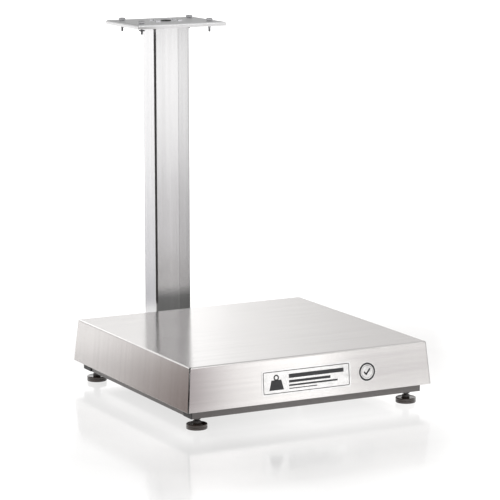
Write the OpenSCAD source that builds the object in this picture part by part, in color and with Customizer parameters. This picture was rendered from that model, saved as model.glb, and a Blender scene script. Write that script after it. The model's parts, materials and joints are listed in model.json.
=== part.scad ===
/* [Platter] */
// Side of the square top
platter_size = 457.2; // [454:0.1:460]
// Height of the top face above the floor
platter_top_z = 110.7; // [110:0.1:114]
// Height of the skirts, from the top face to the lower edge
skirt_h = 75.2; // [70:0.1:77]
// Lean of the skirts, in degrees from vertical
skirt_flare = 5; // [0:0.5:6]
// Sheet thickness of the platter
platter_sheet = 1.5; // [1.2:0.1:2]
// Outer radius of the platter's folds
platter_fold_r = 3.5; // [3:0.1:5]
// Open gap between two skirts at a corner
corner_gap = 2.4; // [1:0.1:4]

/* [Base frame] */
// Side of the square frame
frame_size = 440; // [436:1:442]
// Height of the frame's underside above the floor
frame_z = 21; // [20.5:0.5:24]
// Width and height of the frame's square tube
rail_w = 30; // [29:1:32]
// Wall of the square tube
rail_wall = 2; // [1.5:0.1:2.5]
// Width of the centre beam
beam_w = 60; // [56:1:70]
// Wall of the centre beam
beam_wall = 3; // [2.5:0.1:4]

/* [Load cell and spider] */
// Length of the load cell
cell_l = 150; // [130:1:160]
// Width of the load cell
cell_w = 40; // [38:1:44]
// Height of the load cell
cell_h = 25; // [22:1:25]
// Thickness of each spacer plate
spacer_t = 4; // [3:0.5:4]
// Distance of each spider arm from the middle
arm_x = 165; // [160:1:172]
// Length of each spider arm
arm_l = 428; // [424:1:430]
// Width of a spider arm
arm_w = 30; // [30:1:34]
// Height of a spider arm
arm_h = 16; // [14:1:16]
// Gap left under each arm before an overload stop takes the load
stop_gap = 0.7; // [0.6:0.1:1.2]

/* [Feet] */
// Distance of each foot from the top's edges
foot_inset = 25.4; // [24:0.1:27]
// Radius of a foot's pad
foot_pad_r = 18; // [15:0.5:20]
// Thickness of a foot's pad
foot_pad_h = 9.3; // [8:0.1:9.5]
// Radius of a foot's stud
foot_stud_r = 4; // [3.5:0.1:4.5]

/* [Column] */
// Width of the column
column_w = 72.5; // [70:0.5:76]
// Depth of the column
column_d = 52.2; // [50:0.1:54]
// Distance of the column's axis behind the platter's middle
column_y = 327.7; // [320:0.1:335]
// Wall of the column
column_wall = 2; // [1.5:0.1:3]
// Outer corner radius of the column
column_corner_r = 4.5; // [3.5:0.1:6]
// Distance of the front seam from the column's middle
seam_x = 12; // [0:1:25]

/* [Indicator plate] */
// Width of the indicator plate
plate_w = 179; // [170:1:190]
// Depth of the indicator plate
plate_d = 142; // [135:1:150]
// Height of the plate's top face above the floor
plate_top_z = 634; // [500:1:700]
// Sheet thickness of the plate
plate_sheet = 2.5; // [2:0.1:3]
// Depth of the plate's folded edges
plate_lip = 7.5; // [6:0.1:9]
// Screw spacing across the plate
screw_span_x = 138; // [130:1:142]
// Screw spacing along the plate
screw_span_y = 85; // [78:1:90]

/* [Hidden] */
$fn = 48;

// Extra length of a cutting tool beyond the face that it cuts
cut = 1;
// Radial clearance of a screw in its thread
thread_clearance = 0.05;
// Clearance of a part that sits inside a tube
seat_clearance = 0.1;
// Length by which a skirt's flat part runs into its fold, so that they are one piece
fold_overlap = 0.05;
// Thickness of the adhesive under a label
adhesive = 0.02;

// M8 fasteners
m8_r = 4;
m8_hole_r = 4.25;
m8_hex = 13;
m8_hex_head_h = 5.3;
m8_nut_h = 6.5;
m8_thin_nut_h = 4.5;
m8_cap_r = 6.5;
m8_cap_h = 8;
m8_key = 6;
// M5 fasteners
m5_r = 2.5;
m5_hole_r = 2.75;
m5_pan_r = 4.6;
m5_pan_h = 2.6;
m5_key = 3;

// Platter
platter_under_z = platter_top_z - platter_sheet;
skirt_straight = (skirt_h - platter_fold_r + platter_fold_r*sin(skirt_flare))/cos(skirt_flare);
skirt_edge_y = platter_size/2 - platter_fold_r + platter_fold_r*cos(skirt_flare);
front_extent = skirt_edge_y + skirt_straight*sin(skirt_flare);
label_w = 172;
label_h = 44;
label_t = 0.3;
label_x = -10;
label_down = 38;
label_corner_r = 4;
seal_r = 17;
seal_x = 108;

// Whole object: the origin lies under the middle of its box
rear_extent = column_y + plate_d/2;
origin_shift = (front_extent - rear_extent)/2;

// Base frame
rail_mid = frame_size/2 - rail_w/2;
side_rail_l = frame_size - 2*rail_w;
rail_top_z = frame_z + rail_w;
plug_depth = 6;
plug_flange_t = 1.5;
boss_r = 10;
foot_x = platter_size/2 - foot_inset;

// Load cell and spider
cell_z = rail_top_z + spacer_t;
arm_z = cell_z + cell_h + spacer_t;
arm_top_z = arm_z + arm_h;
arm_wall = 2;
cell_end_l = 30;
cell_bolt_x = 12;
cell_bolt_y = cell_l/2 - cell_end_l/2;
cell_bolt_grip = 18;
cell_eye_r = 8;
cell_eye_y = 17;
cell_slot_h = 6;
cross_beam_w = 40;
cross_beam_l = 2*arm_x - arm_w;
access_r = 8;
pad_y = arm_l/2 - 24;
pad_r = 14;
pad_h = platter_under_z - arm_top_z;
pad_floor = 2.8;
pad_recess_r = 6;
pad_screw_l = 10;
stop_y = rail_mid;
stop_reach = 18;
gland_hex = 12;
gland_hex_h = 4;
gland_r = 4.5;
gland_l = 13;
gland_bore_r = 2.5;

// Bubble level and rating plate
level_x = -110;
level_r = 12;
level_h = 9;
level_wall = 2;
level_fluid_h = 4.5;
level_lens_h = 2;
rating_x = -120;
rating_w = 60;
rating_h = 18;
rating_t = 0.8;
rivet_r = 1.5;
rivet_inset = 3.5;
rivet_head_h = 0.7;

// Cable route
cable_z = frame_z + 9;
grommet_hole_r = 4.5;
grommet_bore_r = 3;
grommet_flange = 1.5;
grommet_flange_t = 1.5;

// Column bracket
bracket_t = 5;
bracket_w = 120;
bracket_front_y = 120;
bracket_rear_y = column_y + column_d/2 + 8;
web_t = 4;
web_h = 46;
web_front_y = column_y - column_d/2 - 58;
web_x = column_w/2 + seat_clearance;
bracket_rail_bolt_x = 45;
bracket_beam_bolt_x = 15;
bracket_beam_bolt_y = 140;
bracket_bolt_l = 18;
column_bolt_heights = [frame_z + 12, frame_z + 34];
column_bolt_l = web_t + seat_clearance + column_wall + m8_nut_h + 2;

// Column and plate
column_top_z = plate_top_z - plate_sheet;
column_h = column_top_z - frame_z;
seam_w = 0.8;
seam_depth = 0.4;
cap_t = 4;
cap_hole_r = 12;
plate_fold_r = 3.2;
plate_corner_gap = 0.6;
plate_screw_x = 22;
plate_screw_y = 14;
plate_screw_l = 8;
cable_hole_r = 8;
cable_bore_r = 5.5;
cable_flange = 2;
thumb_head_r = 6;
thumb_head_h = 5.5;
thumb_shank_l = 13.5;
thumb_tail_l = 6;
thumb_tail_r = 2.25;
retainer_r = 5.8;
retainer_t = 1.6;
retainer_drop = 9;

// Feet
pad_chamfer = 1.5;
spigot_r = 3;
spigot_l = 5.3;
foot_hex_h = 4.5;
foot_stud_top_z = rail_top_z + 8;

steel = [0.80, 0.79, 0.78];
dark_steel = [0.45, 0.44, 0.43];
zinc = [0.70, 0.70, 0.72];
alloy = [0.78, 0.79, 0.81];
black_rubber = [0.08, 0.07, 0.07];

// The four signed corners of a rectangle, given its half sides
function corners(x, y) = [for (sx = [-1, 1], sy = [-1, 1]) [sx*x, sy*y]];

// Moves a shape from the platter's middle into the part's own frame
module at_platform() {
    translate([0, origin_shift, 0]) children();
}

// Places a shape at each corner of a rectangle, given its half sides
module at_corners(x, y, z) {
    for (p = corners(x, y)) translate([p.x, p.y, z]) children();
}

// Places a flat shape on the front skirt's outer face, x across and down from the fold
module on_front_skirt(x, down) {
    y = skirt_edge_y + down*sin(skirt_flare);
    z = platter_top_z - platter_fold_r + platter_fold_r*sin(skirt_flare) - down*cos(skirt_flare);
    translate([x, -y, z]) rotate([90 - skirt_flare, 0, 0]) translate([0, 0, adhesive]) children();
}

// Rectangle with round corners, centred
module rounded_rect(w, d, r) {
    square([w - 2*r, d], center = true);
    square([w, d - 2*r], center = true);
    for (p = corners(w/2 - r, d/2 - r)) translate(p) circle(r = r);
}

// Cross-section of a folded edge, measured outwards from the start of the fold
module fold_profile(height, sheet, fold_r, flare) {
    far = 2*fold_r;
    straight = (height - fold_r + fold_r*sin(flare))/cos(flare);
    translate([-fold_r, fold_r - sheet]) square([fold_r, sheet]);
    intersection() {
        difference() {
            circle(r = fold_r);
            circle(r = fold_r - sheet);
        }
        polygon([[0, 0], [0, far], [far, far], [far, far*tan(flare)]]);
    }
    rotate(flare) translate([fold_r - sheet, -straight]) square([sheet, straight + fold_overlap]);
}

// One folded edge on the +X side, cut to a mitre at both ends
module folded_edge(reach, half_l, height, sheet, fold_r, flare, gap) {
    out = fold_r + height*tan(flare) + cut;
    half_gap = gap/sqrt(2);
    inner = half_l - fold_r - half_gap;
    outer = half_l + out - half_gap;
    intersection() {
        translate([reach, 0, -fold_r]) rotate([90, 0, 0]) translate([0, 0, -half_l - out])
            linear_extrude(2*(half_l + out)) fold_profile(height, sheet, fold_r, flare);
        translate([0, 0, -height - cut]) linear_extrude(height + 2*cut)
            polygon([[reach - fold_r, -inner], [reach + out, -outer],
                [reach + out, outer], [reach - fold_r, inner]]);
    }
}

// Sheet tray with its four edges folded down, top face at z = 0
module folded_tray(w, d, height, sheet, fold_r, flare, gap) {
    flat_x = w/2 - fold_r;
    flat_y = d/2 - fold_r;
    translate([-flat_x, -flat_y, -sheet]) cube([2*flat_x, 2*flat_y, sheet]);
    for (side = [0, 2]) rotate(90*side) folded_edge(flat_x, flat_y, height, sheet, fold_r, flare, gap);
    for (side = [1, 3]) rotate(90*side) folded_edge(flat_y, flat_x, height, sheet, fold_r, flare, gap);
}

// Rectangular tube along Y, centred on X and Y, standing on z = 0
module tube(w, h, l, wall) {
    difference() {
        translate([-w/2, -l/2, 0]) cube([w, l, h]);
        translate([-w/2 + wall, -l/2 - cut, wall]) cube([w - 2*wall, l + 2*cut, h - 2*wall]);
    }
}

// Plug for the +Y end of a tube, the flange's inner face at y = 0
module end_plug(w, h, wall) {
    inner_w = w - 2*wall - 2*seat_clearance;
    inner_h = h - 2*wall - 2*seat_clearance;
    translate([-w/2, 0, 0]) cube([w, plug_flange_t, h]);
    translate([-inner_w/2, -plug_depth, wall + seat_clearance]) cube([inner_w, plug_depth + cut, inner_h]);
}

// Hexagon prism, given its width across flats
module hexagon(flats, h) {
    cylinder(r = flats/2/cos(30), h = h, $fn = 6);
}

// Hexagon bolt with its bearing face at z = 0 and its shank below
module hex_bolt(r, l, flats, head_h) {
    hexagon(flats, head_h);
    translate([0, 0, -l]) cylinder(r = r, h = l);
}

// Round-headed bolt with a hexagon socket, bearing face at z = 0 and shank below
module socket_bolt(r, l, head_r, head_h, key) {
    difference() {
        cylinder(r = head_r, h = head_h);
        translate([0, 0, head_h/2]) hexagon(key, head_h);
    }
    translate([0, 0, -l]) cylinder(r = r, h = l);
}

// Hexagon nut standing on z = 0
module hex_nut(r, flats, h) {
    difference() {
        hexagon(flats, h);
        translate([0, 0, -cut]) cylinder(r = r + thread_clearance, h = h + 2*cut);
    }
}

// Grommet through a wall that fills 0 to wall_t along Z
module grommet(hole_r, bore_r, wall_t, flange, flange_t) {
    difference() {
        union() {
            translate([0, 0, -flange_t]) cylinder(r = hole_r, h = wall_t + 2*flange_t);
            translate([0, 0, -flange_t]) cylinder(r = hole_r + flange, h = flange_t);
            translate([0, 0, wall_t]) cylinder(r = hole_r + flange, h = flange_t);
        }
        translate([0, 0, -flange_t - cut]) cylinder(r = bore_r, h = wall_t + 2*flange_t + 2*cut);
    }
}

// Platter group

module platter() {
    size = platter_size;
    color(steel) at_platform() translate([0, 0, platter_top_z])
        folded_tray(size, size, skirt_h, platter_sheet, platter_fold_r, skirt_flare, corner_gap);
}

module front_label() {
    color("black") at_platform() on_front_skirt(label_x, label_down)
        linear_extrude(label_t) rounded_rect(label_w, label_h, label_corner_r);
}

module round_seal() {
    color("dimgray") at_platform() on_front_skirt(seal_x, label_down) cylinder(r = seal_r, h = label_t);
}

// Spider and what it carries

module spider_arm(side) {
    at_platform() translate([side*arm_x, 0, arm_z]) difference() {
        tube(arm_w, arm_h, arm_l, arm_wall);
        for (y = [-pad_y, pad_y]) translate([0, y, arm_h/2]) cylinder(r = m5_r + thread_clearance, h = arm_h);
    }
}

module spider_left_arm() {
    color(steel) spider_arm(-1);
}

module spider_right_arm() {
    color(steel) spider_arm(1);
}

module spider_cross_beam() {
    color(steel) at_platform() translate([0, -cell_bolt_y, arm_z]) difference() {
        rotate(90) tube(cross_beam_w, arm_h, cross_beam_l, arm_wall);
        for (x = [-cell_bolt_x, cell_bolt_x]) {
            translate([x, 0, -cut]) cylinder(r = m8_hole_r, h = arm_h/2);
            translate([x, 0, arm_h/2]) cylinder(r = access_r, h = arm_h);
        }
    }
}

module spider_rear_tie() {
    color(steel) at_platform() translate([0, cell_bolt_y, arm_z])
        rotate(90) tube(arm_w, arm_h, cross_beam_l, arm_wall);
}

module spider_end_plugs() {
    color(black_rubber) at_platform() for (x = [-arm_x, arm_x], turn = [0, 180])
        translate([x, 0, arm_z]) rotate(turn) translate([0, arm_l/2, 0]) end_plug(arm_w, arm_h, arm_wall);
}

module platter_pads() {
    color(black_rubber) at_platform() at_corners(arm_x, pad_y, arm_top_z) difference() {
        cylinder(r = pad_r, h = pad_h);
        translate([0, 0, -cut]) cylinder(r = m5_hole_r, h = pad_h + 2*cut);
        translate([0, 0, pad_floor]) cylinder(r = pad_recess_r, h = pad_h);
    }
}

module pad_screws() {
    color(zinc) at_platform() at_corners(arm_x, pad_y, arm_top_z + pad_floor)
        socket_bolt(m5_r, pad_screw_l, m5_pan_r, m5_pan_h, m5_key);
}

module cell_top_spacer() {
    color(zinc) at_platform() translate([0, -cell_bolt_y, arm_z - spacer_t]) spacer_plate();
}

module spider_bolts() {
    color(zinc) at_platform() for (x = [-cell_bolt_x, cell_bolt_x])
        translate([x, -cell_bolt_y, arm_z + arm_wall])
            socket_bolt(m8_r, arm_wall + spacer_t + cell_bolt_grip, m8_cap_r, m8_cap_h, m8_key);
}

// Base frame

module rail_along_x() {
    rotate(90) tube(rail_w, rail_w, frame_size, rail_wall);
}

// Holes through a front or rear rail for the foot bosses and overload stops
module rail_holes(side) {
    for (x = [-foot_x, foot_x]) translate([x, side*foot_x, frame_z - cut])
        cylinder(r = boss_r + thread_clearance, h = rail_w + 2*cut);
    for (x = [-arm_x, arm_x]) translate([x, side*stop_y, frame_z + rail_w/2])
        cylinder(r = m8_r + thread_clearance, h = rail_w);
}

module rail_front() {
    color(dark_steel) at_platform() difference() {
        translate([0, -rail_mid, frame_z]) rail_along_x();
        rail_holes(-1);
    }
}

module rail_rear() {
    color(dark_steel) at_platform() difference() {
        translate([0, rail_mid, frame_z]) rail_along_x();
        rail_holes(1);
        for (x = [-bracket_rail_bolt_x, bracket_rail_bolt_x]) translate([x, rail_mid, frame_z - cut])
            cylinder(r = m8_hole_r, h = rail_w/2);
        translate([0, rail_mid - rail_w, cable_z]) rotate([-90, 0, 0])
            cylinder(r = grommet_hole_r, h = 2*rail_w);
    }
}

module rail_left() {
    color(dark_steel) at_platform() translate([-rail_mid, 0, frame_z])
        tube(rail_w, rail_w, side_rail_l, rail_wall);
}

module rail_right() {
    color(dark_steel) at_platform() translate([rail_mid, 0, frame_z])
        tube(rail_w, rail_w, side_rail_l, rail_wall);
}

module cell_beam() {
    color(dark_steel) at_platform() translate([0, 0, frame_z]) difference() {
        tube(beam_w, rail_w, side_rail_l, beam_wall);
        for (x = [-cell_bolt_x, cell_bolt_x]) translate([x, cell_bolt_y, 0]) {
            translate([0, 0, rail_w/2]) cylinder(r = m8_hole_r, h = rail_w);
            translate([0, 0, -cut]) cylinder(r = access_r, h = rail_w/2);
        }
        for (x = [-bracket_beam_bolt_x, bracket_beam_bolt_x]) translate([x, bracket_beam_bolt_y, -cut])
            cylinder(r = m8_hole_r, h = rail_w/2);
        translate([0, cell_l/2 + 2*gland_l, rail_w/2]) cylinder(r = grommet_hole_r, h = rail_w);
    }
}

module rail_end_plugs() {
    color(black_rubber) at_platform() for (y = [-rail_mid, rail_mid], turn = [90, -90])
        translate([0, y, frame_z]) rotate(turn) translate([0, frame_size/2, 0])
            end_plug(rail_w, rail_w, rail_wall);
}

module foot_bosses() {
    color(zinc) at_platform() at_corners(foot_x, foot_x, frame_z) difference() {
        cylinder(r = boss_r, h = rail_w);
        translate([0, 0, -cut]) cylinder(r = foot_stud_r + thread_clearance, h = rail_w + 2*cut);
    }
}

// Load cell and its fixings

// Spacer between the load cell's end and the steelwork, centred on its two bolts
module spacer_plate() {
    difference() {
        translate([-cell_w/2, -cell_end_l/2, 0]) cube([cell_w, cell_end_l, spacer_t]);
        for (x = [-cell_bolt_x, cell_bolt_x]) translate([x, 0, -cut])
            cylinder(r = m8_hole_r, h = spacer_t + 2*cut);
    }
}

module load_cell() {
    color(alloy) at_platform() translate([0, 0, cell_z]) difference() {
        translate([-cell_w/2, -cell_l/2, 0]) cube([cell_w, cell_l, cell_h]);
        for (y = [-cell_eye_y, cell_eye_y]) translate([-cell_w, y, cell_h/2]) rotate([0, 90, 0])
            cylinder(r = cell_eye_r, h = 2*cell_w);
        translate([-cell_w, -cell_eye_y, cell_h/2 - cell_slot_h/2])
            cube([2*cell_w, 2*cell_eye_y, cell_slot_h]);
        at_corners(cell_bolt_x, cell_bolt_y, -cut) cylinder(r = m8_r + thread_clearance, h = cell_h + 2*cut);
    }
}

module cell_gland() {
    color(zinc) at_platform() translate([0, cell_l/2, cell_z + cell_h/2]) rotate([-90, 0, 0]) difference() {
        union() {
            hexagon(gland_hex, gland_hex_h);
            cylinder(r = gland_r, h = gland_l);
        }
        translate([0, 0, -cut]) cylinder(r = gland_bore_r, h = gland_l + 2*cut);
    }
}

module cell_base_spacer() {
    color(zinc) at_platform() translate([0, cell_bolt_y, rail_top_z]) spacer_plate();
}

module cell_base_bolts() {
    color(zinc) at_platform() for (x = [-cell_bolt_x, cell_bolt_x])
        translate([x, cell_bolt_y, rail_top_z - beam_wall]) rotate([180, 0, 0])
            socket_bolt(m8_r, beam_wall + spacer_t + cell_bolt_grip, m8_cap_r, m8_cap_h, m8_key);
}

module overload_stops() {
    color(zinc) at_platform() at_corners(arm_x, stop_y, arm_z - stop_gap - m8_hex_head_h)
        hex_bolt(m8_r, arm_z - stop_gap - m8_hex_head_h - rail_top_z + stop_reach, m8_hex, m8_hex_head_h);
}

module overload_stop_nuts() {
    color(zinc) at_platform() at_corners(arm_x, stop_y, rail_top_z) hex_nut(m8_r, m8_hex, m8_nut_h);
}

// Bubble level and rating plate

module level_cup() {
    color(alloy) at_platform() translate([level_x, rail_mid, rail_top_z]) difference() {
        cylinder(r = level_r, h = level_h);
        translate([0, 0, level_wall]) cylinder(r = level_r - level_wall, h = level_h);
    }
}

module level_fluid() {
    color("yellowgreen") at_platform() translate([level_x, rail_mid, rail_top_z + level_wall])
        cylinder(r = level_r - level_wall - thread_clearance, h = level_fluid_h);
}

module level_lens() {
    color("white") at_platform() translate([level_x, rail_mid, rail_top_z + level_wall + level_fluid_h])
        cylinder(r = level_r - level_wall - thread_clearance, h = level_lens_h);
}

// Places a shape on the rear rail's back face, its own Z pointing backwards
module on_rear_rail(x, z) {
    translate([x, frame_size/2, z]) rotate([-90, 0, 0]) children();
}

module rating_plate() {
    color(alloy) at_platform() on_rear_rail(rating_x, frame_z + rail_w/2) difference() {
        linear_extrude(rating_t) rounded_rect(rating_w, rating_h, rivet_r);
        at_corners(rating_w/2 - rivet_inset, rating_h/2 - rivet_inset, -cut)
            cylinder(r = rivet_r + thread_clearance, h = rating_t + 2*cut);
    }
}

module rating_plate_rivets() {
    color(zinc) at_platform() on_rear_rail(rating_x, frame_z + rail_w/2)
        at_corners(rating_w/2 - rivet_inset, rating_h/2 - rivet_inset, 0) {
            cylinder(r = rivet_r, h = rating_t);
            translate([0, 0, rating_t]) cylinder(r = rivet_r + rivet_head_h, h = rivet_head_h);
        }
}

module rail_grommet() {
    color(black_rubber) at_platform() on_rear_rail(0, cable_z) translate([0, 0, -rail_wall])
        grommet(grommet_hole_r, grommet_bore_r, rail_wall, grommet_flange, grommet_flange_t);
}

// Column bracket

module bracket_bolt_places() {
    for (x = [-bracket_rail_bolt_x, bracket_rail_bolt_x]) translate([x, rail_mid, 0]) children();
    for (x = [-bracket_beam_bolt_x, bracket_beam_bolt_x]) translate([x, bracket_beam_bolt_y, 0]) children();
}

// Places a sideways fastener at each column bolt, its own Z pointing outwards from x_out
module column_bolt_places(x_out) {
    for (z = column_bolt_heights, turn = [0, 180])
        translate([0, column_y, z]) rotate(turn) translate([x_out, 0, 0]) rotate([0, 90, 0]) children();
}

module column_bracket() {
    color(steel) at_platform() difference() {
        union() {
            translate([-bracket_w/2, bracket_front_y, frame_z - bracket_t])
                cube([bracket_w, bracket_rear_y - bracket_front_y, bracket_t]);
            for (x = [web_x, -web_x - web_t]) translate([x, web_front_y, frame_z])
                cube([web_t, bracket_rear_y - web_front_y, web_h]);
        }
        bracket_bolt_places() translate([0, 0, frame_z - bracket_t - cut])
            cylinder(r = m8_hole_r, h = bracket_t + 2*cut);
        column_bolt_places(web_x - cut) cylinder(r = m8_hole_r, h = web_t + 2*cut);
    }
}

module bracket_bolts() {
    color(zinc) at_platform() bracket_bolt_places() translate([0, 0, frame_z - bracket_t]) rotate([180, 0, 0])
        hex_bolt(m8_r, bracket_bolt_l, m8_hex, m8_hex_head_h);
}

module bracket_nuts() {
    color(zinc) at_platform() {
        for (x = [-bracket_rail_bolt_x, bracket_rail_bolt_x]) translate([x, rail_mid, frame_z + rail_wall])
            hex_nut(m8_r, m8_hex, m8_nut_h);
        for (x = [-bracket_beam_bolt_x, bracket_beam_bolt_x])
            translate([x, bracket_beam_bolt_y, frame_z + beam_wall]) hex_nut(m8_r, m8_hex, m8_nut_h);
    }
}

// Column and indicator plate

module column() {
    inner_w = column_w - 2*column_wall;
    inner_d = column_d - 2*column_wall;
    front_y = column_y - column_d/2;
    color(steel) at_platform() difference() {
        translate([0, column_y, frame_z]) linear_extrude(column_h) difference() {
            rounded_rect(column_w, column_d, column_corner_r);
            rounded_rect(inner_w, inner_d, column_corner_r - column_wall);
        }
        translate([seam_x - seam_w/2, front_y - cut, frame_z - cut])
            cube([seam_w, seam_depth + cut, column_h + 2*cut]);
        column_bolt_places(column_w/2 - column_wall - cut) cylinder(r = m8_hole_r, h = column_wall + 2*cut);
        translate([0, front_y - cut, cable_z]) rotate([-90, 0, 0])
            cylinder(r = grommet_hole_r, h = column_wall + 2*cut);
    }
}

module column_bolts() {
    color(zinc) at_platform() column_bolt_places(web_x + web_t)
        hex_bolt(m8_r, column_bolt_l, m8_hex, m8_hex_head_h);
}

module column_nuts() {
    color(zinc) at_platform() column_bolt_places(column_w/2 - column_wall - m8_nut_h)
        hex_nut(m8_r, m8_hex, m8_nut_h);
}

module column_grommet() {
    color(black_rubber) at_platform() translate([0, column_y - column_d/2, cable_z]) rotate([-90, 0, 0])
        grommet(grommet_hole_r, grommet_bore_r, column_wall, grommet_flange, grommet_flange_t);
}

module column_cap() {
    cap_w = column_w - 2*column_wall - 2*seat_clearance;
    cap_d = column_d - 2*column_wall - 2*seat_clearance;
    color(dark_steel) at_platform() translate([0, column_y, column_top_z - cap_t]) difference() {
        linear_extrude(cap_t) rounded_rect(cap_w, cap_d, column_corner_r - column_wall);
        translate([0, 0, -cut]) cylinder(r = cap_hole_r, h = cap_t + 2*cut);
        at_corners(plate_screw_x, plate_screw_y, -cut)
            cylinder(r = m5_r + thread_clearance, h = cap_t + 2*cut);
    }
}

module indicator_plate() {
    color(steel) at_platform() translate([0, column_y, plate_top_z]) difference() {
        folded_tray(plate_w, plate_d, plate_lip, plate_sheet, plate_fold_r, 0, plate_corner_gap);
        translate([0, 0, -plate_sheet - cut]) {
            cylinder(r = cable_hole_r, h = plate_sheet + 2*cut);
            at_corners(plate_screw_x, plate_screw_y, 0) cylinder(r = m5_hole_r, h = plate_sheet + 2*cut);
            at_corners(screw_span_x/2, screw_span_y/2, 0) cylinder(r = m5_hole_r, h = plate_sheet + 2*cut);
        }
    }
}

module plate_screws() {
    color(zinc) at_platform() translate([0, column_y, 0])
        at_corners(plate_screw_x, plate_screw_y, plate_top_z)
            socket_bolt(m5_r, plate_screw_l, m5_pan_r, m5_pan_h, m5_key);
}

module plate_grommet() {
    color(black_rubber) at_platform() translate([0, column_y, column_top_z])
        grommet(cable_hole_r, cable_bore_r, plate_sheet, cable_flange, grommet_flange_t);
}

// Thumb screw with its bearing face at z = 0, a full shank and then a threaded tail
module thumb_screw() {
    cylinder(r = thumb_head_r, h = thumb_head_h);
    translate([0, 0, -thumb_shank_l]) cylinder(r = m5_r, h = thumb_shank_l);
    translate([0, 0, -thumb_shank_l - thumb_tail_l]) cylinder(r = thumb_tail_r, h = thumb_tail_l);
}

module indicator_screws() {
    color(dark_steel) at_platform() translate([0, column_y, 0])
        at_corners(screw_span_x/2, screw_span_y/2, plate_top_z) thumb_screw();
}

// Push-on washers: three lie against the plate, and the front left one has slid down its screw
module screw_retainers() {
    color("dimgray") at_platform() translate([0, column_y, column_top_z - retainer_t])
        for (p = corners(screw_span_x/2, screw_span_y/2)) {
            drop = (p.x < 0 && p.y < 0) ? retainer_drop : 0;
            translate([p.x, p.y, -drop]) difference() {
                cylinder(r = retainer_r, h = retainer_t);
                translate([0, 0, -cut]) cylinder(r = m5_r + thread_clearance, h = retainer_t + 2*cut);
            }
        }
}

// Feet

module foot_locknuts() {
    color(zinc) at_platform() at_corners(foot_x, foot_x, frame_z - m8_thin_nut_h)
        hex_nut(foot_stud_r, m8_hex, m8_thin_nut_h);
}

module foot_pad(side_x, side_y) {
    edge_r = foot_pad_r - pad_chamfer;
    color(black_rubber) at_platform() translate([side_x*foot_x, side_y*foot_x, 0]) difference() {
        rotate_extrude() polygon([[0, 0], [edge_r, 0], [foot_pad_r, pad_chamfer],
            [foot_pad_r, foot_pad_h - pad_chamfer], [edge_r, foot_pad_h], [0, foot_pad_h]]);
        translate([0, 0, foot_pad_h - spigot_l])
            cylinder(r = spigot_r + thread_clearance, h = spigot_l + cut);
    }
}

module foot_stud(side_x, side_y) {
    color(zinc) at_platform() translate([side_x*foot_x, side_y*foot_x, foot_pad_h]) {
        translate([0, 0, -spigot_l]) cylinder(r = spigot_r, h = spigot_l);
        hexagon(m8_hex, foot_hex_h);
        translate([0, 0, foot_hex_h])
            cylinder(r = foot_stud_r, h = foot_stud_top_z - foot_pad_h - foot_hex_h);
    }
}

module foot_pad_front_left() {
    foot_pad(-1, -1);
}

module foot_stud_front_left() {
    foot_stud(-1, -1);
}

module foot_pad_front_right() {
    foot_pad(1, -1);
}

module foot_stud_front_right() {
    foot_stud(1, -1);
}

module foot_pad_rear_left() {
    foot_pad(-1, 1);
}

module foot_stud_rear_left() {
    foot_stud(-1, 1);
}

module foot_pad_rear_right() {
    foot_pad(1, 1);
}

module foot_stud_rear_right() {
    foot_stud(1, 1);
}

platter();
front_label();
round_seal();
spider_left_arm();
spider_right_arm();
spider_cross_beam();
spider_rear_tie();
spider_end_plugs();
platter_pads();
pad_screws();
cell_top_spacer();
spider_bolts();
rail_front();
rail_rear();
rail_left();
rail_right();
cell_beam();
rail_end_plugs();
foot_bosses();
load_cell();
cell_gland();
cell_base_spacer();
cell_base_bolts();
overload_stops();
overload_stop_nuts();
level_cup();
level_fluid();
level_lens();
rating_plate();
rating_plate_rivets();
rail_grommet();
column_bracket();
bracket_bolts();
bracket_nuts();
column();
column_bolts();
column_nuts();
column_grommet();
column_cap();
indicator_plate();
plate_screws();
plate_grommet();
indicator_screws();
screw_retainers();
foot_locknuts();
foot_pad_front_left();
foot_stud_front_left();
foot_pad_front_right();
foot_stud_front_right();
foot_pad_rear_left();
foot_stud_rear_left();
foot_pad_rear_right();
foot_stud_rear_right();
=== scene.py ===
import json
import math
import bmesh
import bpy
from mathutils import Matrix, Vector


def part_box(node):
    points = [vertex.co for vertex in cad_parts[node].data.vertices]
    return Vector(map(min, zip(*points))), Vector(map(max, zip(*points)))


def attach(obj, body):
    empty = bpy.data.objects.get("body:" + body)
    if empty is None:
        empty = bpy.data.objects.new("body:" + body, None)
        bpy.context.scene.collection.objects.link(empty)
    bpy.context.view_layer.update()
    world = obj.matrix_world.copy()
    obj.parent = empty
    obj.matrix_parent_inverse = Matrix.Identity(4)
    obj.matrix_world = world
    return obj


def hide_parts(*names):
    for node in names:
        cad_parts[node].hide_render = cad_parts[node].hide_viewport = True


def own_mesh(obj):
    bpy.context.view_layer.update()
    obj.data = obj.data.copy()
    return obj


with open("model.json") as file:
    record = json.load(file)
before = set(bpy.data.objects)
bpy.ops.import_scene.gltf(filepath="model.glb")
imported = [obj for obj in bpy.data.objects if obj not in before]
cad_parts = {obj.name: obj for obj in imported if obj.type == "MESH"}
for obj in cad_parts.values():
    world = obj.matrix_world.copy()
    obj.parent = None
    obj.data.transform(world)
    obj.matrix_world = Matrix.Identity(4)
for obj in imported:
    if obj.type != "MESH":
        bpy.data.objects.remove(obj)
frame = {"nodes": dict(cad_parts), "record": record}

scene = bpy.context.scene
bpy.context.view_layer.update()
MM = 0.001


# ---------------------------------------------------------------- node helpers


def start_material(name):
    """A new material with its node tree and its principled shader."""
    material = bpy.data.materials.new(name)
    material.use_nodes = True
    tree = material.node_tree
    tree.nodes.clear()
    out = tree.nodes.new("ShaderNodeOutputMaterial")
    shader = tree.nodes.new("ShaderNodeBsdfPrincipled")
    tree.links.new(shader.outputs["BSDF"], out.inputs["Surface"])
    return material, tree, shader


def add(tree, kind, **values):
    """A new node with some of its properties set."""
    node = tree.nodes.new(kind)
    for key, value in values.items():
        setattr(node, key, value)
    return node


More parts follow.
